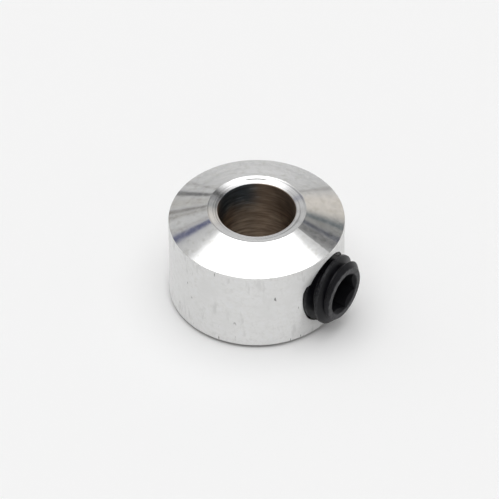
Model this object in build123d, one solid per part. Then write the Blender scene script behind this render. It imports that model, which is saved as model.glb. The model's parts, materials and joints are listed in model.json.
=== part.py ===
from build123d import *
import math
import os

# Shaft collar with one socket set screw. Millimetres, +Z along the bore towards the bevelled
# face, +X along the set screw, pointing outwards. The origin is on the bore's axis, halfway
# between the collar's two end faces.

# Collar
COLLAR_DIAMETER = 9.5
COLLAR_WIDTH = 5.8
BORE_DIAMETER = 4.2         # running clearance on a 4 mm shaft
CREST_DIAMETER = 5.34       # ridge where the bevel meets the dish around the bore
BEVEL_ANGLE = 19.0          # degrees, from the crest's plane down to the outer edge
DISH_DEPTH = 0.1            # drop from the crest to the edge of the bore
BACK_BREAK = 0.15           # 45 degree break where the bore meets the back face
BACK_RIM_BREAK = 0.2        # 45 degree break around the back face
EDGE_RADIUS = 0.04          # rounding of every turned edge
SCREW_HEIGHT = 2.62         # set screw's axis above the back face

# M4 coarse right-hand thread
THREAD_DIAMETER = 4.0
THREAD_PITCH = 0.7
FLANK_ANGLE = 30.0          # degrees, half of the 60 degree profile
EXTERNAL_CREST = 3.84       # screw's major diameter, inside its tolerance
EXTERNAL_ROOT = 3.04
INTERNAL_CREST = 3.32       # tapped hole's minor diameter
INTERNAL_ROOT = 4.06
FLANK_PLAY = 0.04           # axial gap between two flanks in mesh
THREAD_OVERLAP = 0.1        # how far the groove's cutter starts inside the drilled hole
THREAD_PHASE = 0.85         # part of a turn that the helix is shifted along the screw's axis
MOUTH_DIAMETER = 4.24       # countersink of the tapped hole, at the top of the wall
MOUTH_ANGLE = 100.0         # degrees, whole angle of that countersink

# Set screw
SCREW_LENGTH = 3.0
TURNS_PROUD = 1.4           # turns that the screw is backed out from flush
KEY_SIZE = 2.0              # hexagon across flats
SOCKET_DEPTH = 1.4
SOCKET_DRILL = 1.94         # drilled before the hexagon is broached
DRILL_ANGLE = 120.0         # degrees, whole angle of the drilled floor
SOCKET_TURN = 37.0          # degrees, how far the hexagon is turned about the screw's axis
SOCKET_RIM = 2.4            # diameter of the socket's countersunk rim
END_CHAMFER = 0.42          # radial width of the chamfer at the socket end
CUP_DIAMETER = 2.0          # rim of the cup point
CUP_RIM_WIDTH = 0.08
CUP_ANGLE = 135.0           # degrees, the whole angle of the hollow in the point
POINT_LENGTH = 0.48         # plain cone between the cup's rim and the first thread

COLLAR_RADIUS = COLLAR_DIAMETER / 2
FRONT = COLLAR_WIDTH / 2
BACK = -COLLAR_WIDTH / 2
SCREW_END = COLLAR_RADIUS + TURNS_PROUD * THREAD_PITCH
SCREW_TIP = SCREW_END - SCREW_LENGTH

# Local frame of the screw and its hole: local Z is the screw's axis, from the bore's axis
# outwards, and local X is the collar's +Y.
SCREW_PLANE = Plane(origin=(0, 0, BACK + SCREW_HEIGHT), x_dir=(0, 1, 0), z_dir=(1, 0, 0))


def profile(points):
    """Flat face in the XZ plane from (radius, height) points."""
    return make_face(Polyline(*[(r, 0, z) for r, z in points], close=True))


def turned(points):
    """Solid of revolution about Z from (radius, height) points."""
    return revolve(profile(points), axis=Axis.Z)


def turned_ring():
    """Collar before its hole is drilled: bore, dish, bevel, wall and rounded edges."""
    bore = BORE_DIAMETER / 2
    crest = CREST_DIAMETER / 2
    bevel_foot = FRONT - (COLLAR_RADIUS - crest) * math.tan(math.radians(BEVEL_ANGLE))
    outline = profile(
        [
            (bore, BACK + BACK_BREAK),
            (bore, FRONT - DISH_DEPTH),
            (crest, FRONT),
            (COLLAR_RADIUS, bevel_foot),
            (COLLAR_RADIUS, BACK + BACK_RIM_BREAK),
            (COLLAR_RADIUS - BACK_RIM_BREAK, BACK),
            (bore + BACK_BREAK, BACK),
        ]
    )
    return revolve(fillet(outline.vertices(), EDGE_RADIUS), axis=Axis.Z)


def ridge_half_width(radius):
    """Half of the basic thread's ridge along the axis, at a radius."""
    flank = math.tan(math.radians(FLANK_ANGLE))
    return THREAD_PITCH / 16 + (THREAD_DIAMETER / 2 - radius) * flank


def cut_groove(solid, inner, inner_half, outer, outer_half, shift, first, last):
    """Cut a helical trapezoid groove about local Z, half a turn at a time, between two heights."""
    section = make_face(
        Polyline(
            (inner, 0, -inner_half),
            (outer, 0, -outer_half),
            (outer, 0, outer_half),
            (inner, 0, inner_half),
            close=True,
        )
    )
    half_pitch = THREAD_PITCH / 2
    half_turn = sweep(section, path=Helix(THREAD_PITCH, half_pitch, inner), is_frenet=True)
    start = math.floor(first / THREAD_PITCH) - 1
    count = 2 * (math.ceil(last / THREAD_PITCH) + 1 - start)
    base = (start + shift) * THREAD_PITCH
    for k in range(count):
        solid -= Pos(0, 0, base + k * half_pitch) * Rot(0, 0, 180 * k) * half_turn
    return solid


def collar():
    """Turned ring with the radial tapped hole, modelled about the hole's axis and put back."""
    drill = INTERNAL_CREST / 2
    root = INTERNAL_ROOT / 2
    inside = drill - THREAD_OVERLAP
    mouth = MOUTH_DIAMETER / 2
    mouth_depth = mouth / math.tan(math.radians(MOUTH_ANGLE / 2))
    ring = SCREW_PLANE.location.inverse() * turned_ring()
    ring -= turned([(0, 0), (drill, 0), (drill, COLLAR_DIAMETER), (0, COLLAR_DIAMETER)])
    ring -= turned([(0, COLLAR_RADIUS - mouth_depth), (mouth, COLLAR_RADIUS), (0, COLLAR_RADIUS)])
    threaded = cut_groove(
        ring,
        inner=inside,
        inner_half=ridge_half_width(inside) + FLANK_PLAY / 2,
        outer=root,
        outer_half=ridge_half_width(root) + FLANK_PLAY / 2,
        shift=THREAD_PHASE,
        first=BORE_DIAMETER / 4 + THREAD_PITCH,
        last=COLLAR_RADIUS,
    )
    return SCREW_PLANE.location * threaded


def screw_blank():
    """Outer form of the screw: cup point cone, thread crest and the socket end's chamfer."""
    cup = CUP_DIAMETER / 2
    crest = EXTERNAL_CREST / 2
    return turned(
        [
            (0, SCREW_TIP),
            (cup, SCREW_TIP),
            (crest, SCREW_TIP + crest - cup),
            (crest, SCREW_END - END_CHAMFER),
            (crest - END_CHAMFER, SCREW_END),
            (0, SCREW_END),
        ]
    )


def key_socket():
    """Hexagon socket with a countersunk rim and a drilled, conical floor."""
    rim = SOCKET_RIM / 2
    drill = SOCKET_DRILL / 2
    floor = SCREW_END - SOCKET_DEPTH
    tip = floor - drill / math.tan(math.radians(DRILL_ANGLE / 2))
    flats = RegularPolygon(KEY_SIZE / 2, 6, major_radius=False)
    hexagon = Pos(0, 0, floor) * extrude(flats, SOCKET_DEPTH)
    countersink = turned([(0, SCREW_END - rim), (rim, SCREW_END), (0, SCREW_END)])
    return hexagon + turned([(0, tip), (drill, floor), (0, floor)]) + countersink


def cup_hollow():
    """Shallow cone in the point, which leaves the ring that bites into the shaft."""
    radius = CUP_DIAMETER / 2 - CUP_RIM_WIDTH
    depth = radius / math.tan(math.radians(CUP_ANGLE / 2))
    return turned([(0, SCREW_TIP), (radius, SCREW_TIP), (0, SCREW_TIP + depth)])


def whole_screw():
    """Threaded set screw about local Z."""
    root = EXTERNAL_ROOT / 2
    outside = THREAD_DIAMETER / 2
    plain = Rot(0, 0, SOCKET_TURN) * (screw_blank() - key_socket() - cup_hollow())
    return cut_groove(
        plain,
        inner=root,
        inner_half=THREAD_PITCH / 2 - ridge_half_width(root) + FLANK_PLAY / 2,
        outer=outside,
        outer_half=THREAD_PITCH / 2 - ridge_half_width(outside) + FLANK_PLAY / 2,
        shift=THREAD_PHASE + 0.5,
        first=SCREW_TIP,
        last=SCREW_END,
    )


def screw_pieces():
    """The screw, split where its thread ends: the plain point, and the rest of the screw."""
    screw = whole_screw()
    split = SCREW_TIP + POINT_LENGTH
    reach = THREAD_DIAMETER
    point_side = turned([(0, SCREW_TIP - 1), (reach, SCREW_TIP - 1), (reach, split), (0, split)])
    thread_side = turned([(0, split), (reach, split), (reach, SCREW_END + 1), (0, SCREW_END + 1)])
    return screw & point_side, screw & thread_side


os.makedirs("parts", exist_ok=True)
point, threaded = screw_pieces()
nodes = {
    "collar": collar(),
    "set_screw": SCREW_PLANE.location * threaded,
    "set_screw_point": SCREW_PLANE.location * point,
}
for name, shape in nodes.items():
    export_step(shape, f"parts/{name}.step")
    print(name, round(shape.volume, 3), shape.is_valid, len(shape.solids()))
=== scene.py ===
"""Shaft collar: looks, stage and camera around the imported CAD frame."""
import json
import math

import bpy
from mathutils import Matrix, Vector


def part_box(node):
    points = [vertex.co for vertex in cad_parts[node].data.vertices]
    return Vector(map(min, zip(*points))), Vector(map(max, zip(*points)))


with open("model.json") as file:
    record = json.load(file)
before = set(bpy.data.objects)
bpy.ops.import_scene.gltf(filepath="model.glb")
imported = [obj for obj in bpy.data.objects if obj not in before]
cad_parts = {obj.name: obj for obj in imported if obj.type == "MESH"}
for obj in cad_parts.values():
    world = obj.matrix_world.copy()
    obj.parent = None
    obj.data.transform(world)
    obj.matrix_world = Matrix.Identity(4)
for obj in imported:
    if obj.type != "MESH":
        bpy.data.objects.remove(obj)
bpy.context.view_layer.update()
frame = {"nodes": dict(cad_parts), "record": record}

MM = 0.001

# Sizes read from the frame: the collar stands on its back face, with its bore along Z.
collar_low, collar_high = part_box("collar")
screw_low, screw_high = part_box("set_screw")
OUTER = collar_high.y
BORE = frame["record"]["mounts"][0]["dims"]["r_mm"] * MM
FLOOR_Z = collar_low.z
FRONT_Z = collar_high.z
SCREW_Z = (screw_low.z + screw_high.z) / 2
SCREW_END = screw_high.x

# Radii, angles and widths that the CAD model has and the frame doesn't name
CREST = 0.562 * OUTER       # ridge between the bevel and the dish around the bore
BEVEL_ANGLE = 19.0          # degrees
MOUTH = 2.12 * MM           # tapped hole's countersink, at the top of the wall
MOUTH_ANGLE = 100.0         # degrees, whole angle of that countersink
BACK_RIM_BREAK = 0.2 * MM   # chamfer around the back face
THREAD_CREST = 1.92 * MM
SOCKET_RIM = 1.2 * MM
BEVEL_FOOT = FRONT_Z - (OUTER - CREST) * math.tan(math.radians(BEVEL_ANGLE))
MOUTH_SLOPE = 1 / math.tan(math.radians(MOUTH_ANGLE / 2))

# Marks on the collar, and one painted reflection in the dish: azimuths about the bore are in
# degrees
SMUDGE_AZIMUTH = 302        # on the bevel
PAINTED_REFLECTION_AZIMUTH = 126          # in the dish: a short dark arc, a painted reflection
PAINTED_REFLECTION_RADIUS = 2.42 * MM
COOL_AZIMUTH = 162          # bluish side of the bore
COOL_LOW_Z = 1.3 * MM       # its blend goes from here up to the next height
COOL_HIGH_Z = 2.8 * MM

# Sockets of a Mix node that is set to colours
MIX_FACTOR, MIX_A, MIX_B, MIX_RESULT = 0, 6, 7, 2


class Nodes:
    """Short way to build a node tree: each call adds a node, sets its inputs and links them."""

    def __init__(self, tree):
        self.tree = tree
        tree.nodes.clear()

    def feed(self, socket, value):
        """Link a socket to another node's output, or set it to a constant."""
        if isinstance(value, bpy.types.NodeSocket):
            self.tree.links.new(value, socket)
        else:
            socket.default_value = value

    def add(self, kind, values=None, **settings):
        node = self.tree.nodes.new(kind)
        for name, value in settings.items():
            setattr(node, name, value)
        for key, value in (values or {}).items():
            self.feed(node.inputs[key], value)
        return node

    def math(self, operation, *values):
        return self.add("ShaderNodeMath", dict(enumerate(values)), operation=operation).outputs[0]

    def product(self, *values):
        result = values[0]
        for value in values[1:]:
            result = self.math("MULTIPLY", result, value)
        return result

    def ramp(self, factor, stops):
        """Colour ramp; a stop is its position with a colour, or with one number for a grey."""
        node = self.add("ShaderNodeValToRGB", {"Fac": factor})
        elements = node.color_ramp.elements
        while len(elements) < len(stops):
            elements.new(0.5)
        for element, (position, colour) in zip(elements, stops):
            rgb = colour if isinstance(colour, tuple) else (colour, colour, colour)
            element.position = position
            element.color = (*rgb, 1.0)
        return node.outputs["Color"]

    def noise(self, vector, scale, detail=3.0, roughness=0.55):
        values = {"Vector": vector, "Scale": scale, "Detail": detail, "Roughness": roughness}
        return self.add("ShaderNodeTexNoise", values).outputs["Fac"]

    def ring_noise(self, radius, xyz, reach, scale, detail):
        """Noise drawn out into rings about Z; a longer reach makes each ring vary more around."""
        cosine = self.product(self.math("DIVIDE", xyz[0], radius), reach)
        sine = self.product(self.math("DIVIDE", xyz[1], radius), reach)
        vector = self.add("ShaderNodeCombineXYZ", {0: cosine, 1: radius, 2: xyz[2]}).outputs[0]
        values = {"Vector": vector, "W": sine, "Scale": scale, "Detail": detail, "Roughness": 0.55}
        return self.add("ShaderNodeTexNoise", values, noise_dimensions="4D").outputs["Fac"]

    def mix(self, factor, a, b):
        """Colour a where the factor is 0, and b where it is 1."""
        node = self.add("ShaderNodeMix", data_type="RGBA")
        self.feed(node.inputs[MIX_FACTOR], factor)
        for index, colour in ((MIX_A, a), (MIX_B, b)):
            self.feed(node.inputs[index], (*colour, 1.0) if isinstance(colour, tuple) else colour)
        return node.outputs[MIX_RESULT]


def new_material(name):
    material = bpy.data.materials.new(name)
    material.use_nodes = True
    return material, Nodes(material.node_tree)


def smooth_step(n, value, low, high):
    """0 before low, 1 past high, and an even blend between them; low may be the larger."""
    values = {"Value": value, "From Min": low, "From Max": high}
    return n.add("ShaderNodeMapRange", values, interpolation_type="SMOOTHSTEP").outputs["Result"]


def rescale(n, value, low, high, new_low, new_high):
    """Straight line from new_low at low to new_high at high, and level beyond them."""
    names = ("Value", "From Min", "From Max", "To Min", "To Max")
    values = dict(zip(names, (value, low, high, new_low, new_high)))
    return n.add("ShaderNodeMapRange", values).outputs["Result"]


def facing(n, angle, azimuth, near, far):
    """1 within near degrees of an azimuth, 0 beyond far degrees, and an even blend between them."""
    cosine = n.math("COSINE", n.math("SUBTRACT", angle, math.radians(azimuth)))
    return smooth_step(n, cosine, math.cos(math.radians(far)), math.cos(math.radians(near)))


def distance(n, a, b):
    return n.math("SQRT", n.math("ADD", n.math("MULTIPLY", a, a), n.math("MULTIPLY", b, b)))


def wall_mask(n, xyz, radius):
    outermost = smooth_step(n, radius, OUTER - 0.06 * MM, OUTER - 0.02 * MM)
    below_bevel = smooth_step(n, xyz[2], BEVEL_FOOT + 0.01 * MM, BEVEL_FOOT - 0.04 * MM)
    return n.product(outermost, below_bevel)


def dish_mask(n, xyz, radius):
    inside_crest = smooth_step(n, radius, CREST, CREST - 0.03 * MM)
    at_front = smooth_step(n, xyz[2], FRONT_Z - 0.4 * MM, FRONT_Z - 0.2 * MM)
    return n.product(inside_crest, at_front)


def painted_hole_shade(n, xyz, radius):
    """Painted shade, near black: the tapped hole between wall and bore, and the cone of the
    countersink.
    """
    from_screw = distance(n, xyz[1], n.math("SUBTRACT", xyz[2], SCREW_Z))
    within_mouth = smooth_step(n, from_screw, MOUTH + 0.02 * MM, MOUTH)
    on_screw_side = smooth_step(n, xyz[0], 0.0, 0.5 * MM)
    below_wall = smooth_step(n, radius, OUTER - 0.01 * MM, OUTER - 0.06 * MM)
    outside_bore = smooth_step(n, radius, BORE + 0.02 * MM, BORE + 0.06 * MM)
    cone_depth = n.product(n.math("SUBTRACT", MOUTH, from_screw), MOUTH_SLOPE)
    past_cone = n.math("ADD", xyz[0], cone_depth)
    on_cone = smooth_step(n, past_cone, OUTER - 0.02 * MM, OUTER - 0.005 * MM)
    inside = n.math("MAXIMUM", n.product(below_wall, outside_bore), on_cone)
    return n.product(within_mouth, on_screw_side, inside)


def front_tone(n, angle, drift, mottle, rub, cloud):
    """Bright turned metal in faint rings, mottled and rubbed, with a smudge on the bevel."""
    tone = n.ramp(drift, [(0.3, 0.75), (0.7, 0.92)])
    tone = n.mix(smooth_step(n, mottle, 0.35, 0.7), tone, (0.90, 0.90, 0.89))
    tone = n.mix(smooth_step(n, rub, 0.5, 0.7), tone, (0.79, 0.785, 0.765))
    around = facing(n, angle, SMUDGE_AZIMUTH, near=12, far=34)
    smudge = n.product(around, smooth_step(n, cloud, 0.5, 0.62), smooth_step(n, mottle, 0.4, 0.6))
    return n.mix(smudge, tone, (0.74, 0.735, 0.71))


def dish_tone(n, radius, angle, rings):
    """Strong tool rings, with one short dark arc that is a painted reflection."""
    tone = n.ramp(rings, [(0.36, 0.60), (0.46, 0.88), (0.62, 0.95)])
    from_painted_reflection = n.math("ABSOLUTE", n.math("SUBTRACT", radius, PAINTED_REFLECTION_RADIUS))
    thin = smooth_step(n, from_painted_reflection, 0.055 * MM, 0.02 * MM)
    short = facing(n, angle, PAINTED_REFLECTION_AZIMUTH, near=8, far=17)
    return n.mix(n.product(thin, short), tone, (0.15, 0.15, 0.15))


def wall_tone(n, mottle, rub, cloud, speck):
    """Handled metal: mottled, with upright rubbed streaks, dull clouds and small dark nicks."""
    stops = [(0.32, (0.90, 0.90, 0.89)), (0.5, (0.97, 0.97, 0.96)), (0.7, (1.0, 1.0, 1.0))]
    tone = n.ramp(mottle, stops)
    tone = n.mix(smooth_step(n, rub, 0.58, 0.74), tone, (0.85, 0.85, 0.84))
    tone = n.mix(smooth_step(n, cloud, 0.45, 0.75), tone, (0.93, 0.93, 0.92))
    return n.mix(smooth_step(n, speck, 0.745, 0.80), tone, (0.34, 0.33, 0.32))


def bore_tone(n, xyz, angle, hone, cloud):
    """Dark brown along the turning marks, darker near the top and bluish there on one side."""
    brown = [(0.34, (0.25, 0.19, 0.145)), (0.5, (0.37, 0.285, 0.215)), (0.66, (0.52, 0.42, 0.32))]
    blue = [(0.36, (0.075, 0.085, 0.095)), (0.55, (0.13, 0.15, 0.165)), (0.68, (0.32, 0.36, 0.39))]
    ragged = n.math("ADD", xyz[2], n.product(cloud, 1.5 * MM))
    near_top = smooth_step(n, ragged, COOL_LOW_Z, COOL_HIGH_Z)
    cool_side = n.product(facing(n, angle, COOL_AZIMUTH, near=15, far=48), near_top)
    tone = n.mix(n.product(near_top, 0.4), n.ramp(hone, brown), (0.20, 0.15, 0.12))
    return n.mix(cool_side, tone, n.ramp(hone, blue))


def turned_aluminium():
    """Bright lathe-turned aluminium, with a dark brown bore, painted shade in the tapped hole and
    on the back chamfer, and a handled wall.
    """
    material, n = new_material("turned_aluminium")
    place = n.add("ShaderNodeTexCoord").outputs["Object"]
    xyz = n.add("ShaderNodeSeparateXYZ", {0: place}).outputs
    radius = distance(n, xyz[0], xyz[1])
    angle = n.math("ARCTAN2", xyz[1], xyz[0])
    upright = n.add("ShaderNodeMapping", {"Vector": place, "Scale": (1.0, 1.0, 0.3)}).outputs[0]

    # Noise scales are in features per metre.
    tool_feed = n.ring_noise(radius, xyz, reach=0.4 * MM, scale=11000.0, detail=1.0)
    rings = n.ring_noise(radius, xyz, reach=0.06 * MM, scale=9000.0, detail=2.0)
    drift = n.ring_noise(radius, xyz, reach=0.4 * MM, scale=1600.0, detail=2.0)
    hone = n.ring_noise(radius, xyz, reach=0.3 * MM, scale=7000.0, detail=3.0)
    cloud = n.noise(place, 700.0, 3.0, 0.6)
    mottle = n.noise(place, 3600.0, 3.0, 0.7)
    rub = n.noise(upright, 2600.0, 2.0, 0.6)
    speck = n.noise(upright, 4200.0, 1.0)

    on_wall = wall_mask(n, xyz, radius)
    in_bore = smooth_step(n, radius, BORE + 0.05 * MM, BORE + 0.012 * MM)
    # The chamfer around the back face is painted dark: painted shade where the contact shadow under
    # the collar falls.
    break_top = FLOOR_Z + BACK_RIM_BREAK
    painted_contact_shade = smooth_step(n, xyz[2], break_top + 0.02 * MM, break_top - 0.04 * MM)

    front = front_tone(n, angle, drift, mottle, rub, cloud)
    tone = n.mix(on_wall, front, wall_tone(n, mottle, rub, cloud, speck))
    tone = n.mix(dish_mask(n, xyz, radius), tone, dish_tone(n, radius, angle, rings))
    tone = n.mix(painted_contact_shade, tone, (0.16, 0.15, 0.14))
    tone = n.mix(in_bore, tone, bore_tone(n, xyz, angle, hone, cloud))
    # Painted shade: the tapped hole and its countersink are turned near black.
    tone = n.mix(painted_hole_shade(n, xyz, radius), tone, (0.05, 0.048, 0.045))

    rough = rescale(n, mottle, 0.3, 0.7, 0.15, 0.2)
    rough = n.math("ADD", rough, n.product(on_wall, 0.30))
    rough = n.math("ADD", rough, n.product(in_bore, 0.15))
    marks = n.product(tool_feed, n.math("SUBTRACT", 0.6, n.product(in_bore, 0.6)))
    height = n.math("ADD", marks, n.product(mottle, on_wall, 0.9))
    bump_values = {"Strength": 0.3, "Distance": 0.002 * MM, "Height": height}
    shader = n.add(
        "ShaderNodeBsdfPrincipled",
        {
            "Base Color": tone,
            "Metallic": 1.0,
            "Roughness": rough,
            "Anisotropic": 1.0,
            "Anisotropic Rotation": 0.25,
            "Tangent": n.add("ShaderNodeTangent", direction_type="RADIAL", axis="Z").outputs[0],
            "Normal": n.add("ShaderNodeBump", bump_values).outputs[0],
        },
    )
    n.add("ShaderNodeOutputMaterial", {"Surface": shader.outputs[0]})
    return material


def black_oxide():
    """Black oxide on steel, a little lighter on the thread's crest and the socket end: partly
    rubbed wear, partly a painted highlight.
    """
    material, n = new_material("black_oxide_steel")
    place = n.add("ShaderNodeTexCoord").outputs["Object"]
    xyz = n.add("ShaderNodeSeparateXYZ", {0: place}).outputs
    from_axis = distance(n, xyz[1], n.math("SUBTRACT", xyz[2], SCREW_Z))
    grain = n.noise(place, 2500.0, 4.0)
    scuff = n.noise(place, 5200.0, 2.0, 0.7)

    on_crest = smooth_step(n, from_axis, THREAD_CREST - 0.09 * MM, THREAD_CREST - 0.02 * MM)
    on_end = smooth_step(n, xyz[0], SCREW_END - 0.05 * MM, SCREW_END - 0.01 * MM)
    # Crest and socket end lighter: rubbed wear, and a painted highlight as well.
    rubbed_and_highlit = n.math("MAXIMUM", n.product(on_crest, 0.5), on_end)
    wear_and_highlight = n.product(rubbed_and_highlit, smooth_step(n, scuff, 0.3, 0.65))
    in_socket = smooth_step(n, from_axis, SOCKET_RIM + 0.02 * MM, SOCKET_RIM - 0.01 * MM)

    tone = n.ramp(grain, [(0.3, (0.002, 0.002, 0.003)), (0.7, (0.006, 0.006, 0.008))])
    tone = n.mix(wear_and_highlight, tone, (0.04, 0.04, 0.043))
    rough = rescale(n, grain, 0.3, 0.7, 0.3, 0.42)
    rough = n.math("ADD", rough, n.product(in_socket, 0.25))
    bump_values = {"Strength": 0.3, "Distance": 0.004 * MM, "Height": grain}
    shader = n.add(
        "ShaderNodeBsdfPrincipled",
        {
            "Base Color": tone,
            "Metallic": 0.0,
            "Roughness": rough,
            "Specular IOR Level": 0.2,
            "Normal": n.add("ShaderNodeBump", bump_values).outputs[0],
        },
    )
    n.add("ShaderNodeOutputMaterial", {"Surface": shader.outputs[0]})
    return material


def paint(node, material):
    mesh = frame["nodes"][node].data
    mesh.materials.clear()
    mesh.materials.append(material)


FLOOR_HALF = 0.6            # metres from the floor's middle to its edges


def floor():
    """Plain pale square that the collar stands on."""
    signs = ((-1, -1), (1, -1), (1, 1), (-1, 1))
    corners = [(x * FLOOR_HALF, y * FLOOR_HALF, FLOOR_Z) for x, y in signs]
    mesh = bpy.data.meshes.new("floor")
    mesh.from_pydata(corners, [], [(0, 1, 2, 3)])
    plane = bpy.data.objects.new("floor", mesh)
    bpy.context.scene.collection.objects.link(plane)
    material, n = new_material("pale_floor")
    matt = {"Base Color": (0.94, 0.94, 0.94, 1.0), "Roughness": 0.9, "Specular IOR Level": 0.1}
    shader = n.add("ShaderNodeBsdfPrincipled", matt)
    n.add("ShaderNodeOutputMaterial", {"Surface": shader.outputs[0]})
    mesh.materials.append(material)


def heading(azimuth, elevation):
    """Unit vector towards an azimuth and an elevation, both in degrees."""
    azimuth, elevation = math.radians(azimuth), math.radians(elevation)
    level = math.cos(elevation)
    return Vector((math.cos(azimuth) * level, math.sin(azimuth) * level, math.sin(elevation)))


# The world's brightness by the height of the direction, from the horizon at 0 to overhead at 1
SKY = ((0.0, 0.60), (0.3, 0.55), (0.6, 0.55), (0.78, 0.56), (0.82, 0.72), (0.87, 2.0), (1.0, 2.06))

# Long dark cards in the world, whose reflections are the streaks on the collar: the azimuth and
# elevation of each one's middle, the azimuth of the upright plane that it runs along, half of
# its width, the angle in radians from its middle to its ends, and its colour
CARDS = (
    (98, 28, 50, 0.110, 0.30, (0.68, 0.64, 0.59)),
    (90, 40, 20, 0.088, 0.24, (0.27, 0.27, 0.26)),
    (163, 44, 233, 0.029, 0.20, (0.045, 0.055, 0.15)),
    (155, 32, 216, 0.013, 0.16, (0.33, 0.32, 0.30)),
    (160, 40, 228, 0.010, 0.16, (0.36, 0.35, 0.34)),
    (149, 25, 201, 0.030, 0.15, (0.47, 0.46, 0.44)),
    (153, 29, 210, 0.013, 0.15, (0.15, 0.14, 0.13)),
    (145, 20, 191, 0.015, 0.16, (0.05, 0.05, 0.05)),
    (92, 37, 25, 0.020, 0.22, (0.12, 0.14, 0.15)),
    (87, 44, 12, 0.020, 0.22, (0.05, 0.055, 0.08)),
    (107, 17, 67, 0.011, 0.20, (0.36, 0.35, 0.34)),
    (141, 14, 177, 0.010, 0.06, (0.20, 0.19, 0.18)),
    (103, 50, 191, 0.028, 0.28, (0.02, 0.02, 0.02)),
)


def studio():
    """Soft light from all round, brighter straight overhead, and the dark cards."""
    world = bpy.data.worlds.new("studio")
    bpy.context.scene.world = world
    world.use_nodes = True
    n = Nodes(world.node_tree)
    direction = n.add("ShaderNodeTexCoord").outputs["Generated"]
    up = n.add("ShaderNodeSeparateXYZ", {0: direction}).outputs[2]
    sky = n.ramp(up, SKY)

    def along(axis):
        values = {0: direction, 1: axis}
        return n.add("ShaderNodeVectorMath", values, operation="DOT_PRODUCT").outputs["Value"]

    for azimuth, elevation, plane_azimuth, half_width, reach, colour in CARDS:
        middle = heading(azimuth, elevation)
        thin = heading(plane_azimuth + 90, 0)
        across = n.math("ABSOLUTE", n.math("SUBTRACT", along(thin), middle.dot(thin)))
        narrow = smooth_step(n, across, half_width * 1.4, half_width * 0.6)
        near = smooth_step(n, along(middle), math.cos(reach * 1.3), math.cos(reach * 0.8))
        sky = n.mix(n.product(narrow, near), sky, colour)
    background = n.add("ShaderNodeBackground", {"Color": sky, "Strength": 1.0})
    n.add("ShaderNodeOutputWorld", {"Surface": background.outputs[0]})


CAMERA_AZIMUTH = 35.0       # degrees, of the direction that is right in the picture
CAMERA_ELEVATION = 42.9
CAMERA_DISTANCE = 43.0      # in collar radii
RADIUS_SHARE = 0.17587      # share of the picture's width that one collar radius takes
AIM_RIGHT = -0.081          # in collar radii, from the origin
AIM_UP = -0.02
SENSOR_WIDTH = 36.0


def camera():
    """Long lens on the collar, at the photograph's angle."""
    right = heading(CAMERA_AZIMUTH, 0)
    back = heading(CAMERA_AZIMUTH - 90, CAMERA_ELEVATION)
    aim = (right * AIM_RIGHT + Vector((0, 0, AIM_UP))) * OUTER
    data = bpy.data.cameras.new("camera")
    data.sensor_width = SENSOR_WIDTH
    data.lens = SENSOR_WIDTH * RADIUS_SHARE * CAMERA_DISTANCE
    data.clip_start = 0.001
    data.clip_end = 10.0
    item = bpy.data.objects.new("camera", data)
    bpy.context.scene.collection.objects.link(item)
    item.location = aim + back * (CAMERA_DISTANCE * OUTER)
    item.rotation_mode = "QUATERNION"
    item.rotation_quaternion = (-back).to_track_quat("-Z", "Y")
    bpy.context.scene.camera = item


steel = black_oxide()
paint("collar", turned_aluminium())
paint("set_screw", steel)
paint("set_screw_point", steel)
floor()
studio()
camera()
bpy.context.scene.view_settings.view_transform = "Standard"
